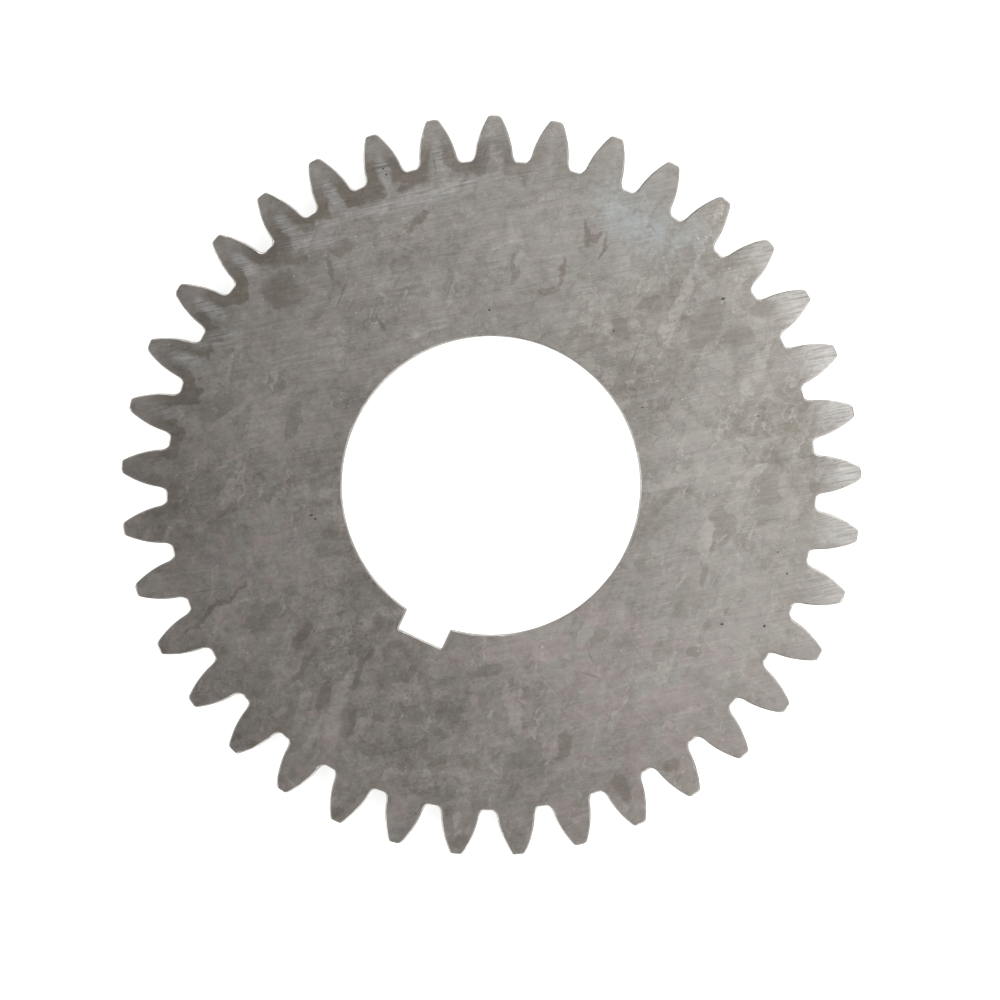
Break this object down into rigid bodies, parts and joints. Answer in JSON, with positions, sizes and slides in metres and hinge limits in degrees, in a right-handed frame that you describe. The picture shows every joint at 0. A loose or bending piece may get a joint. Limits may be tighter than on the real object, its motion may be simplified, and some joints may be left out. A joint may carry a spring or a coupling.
{
  "type": "spur gear",
  "caption": "Flat solid spur gear with straight involute teeth, a plain round bore and a rectangular keyway, which turns with a keyed shaft.",
  "frame": {"origin": "on the bore's axis, halfway through the face width", "axes": "+Z along the bore's axis, square to both flat faces. The keyway and the tooth that it is centred on point along -Y, so a tooth space is centred on +Y."},
  "size_m": [0.1238, 0.1236, 0.016],
  "materials": {
    "ground_steel": "bare steel with ground faces, stained and lightly scratched"
  },
  "bodies": {
    "root": {"gear": "ground_steel"}
  },
  "joints": []
}
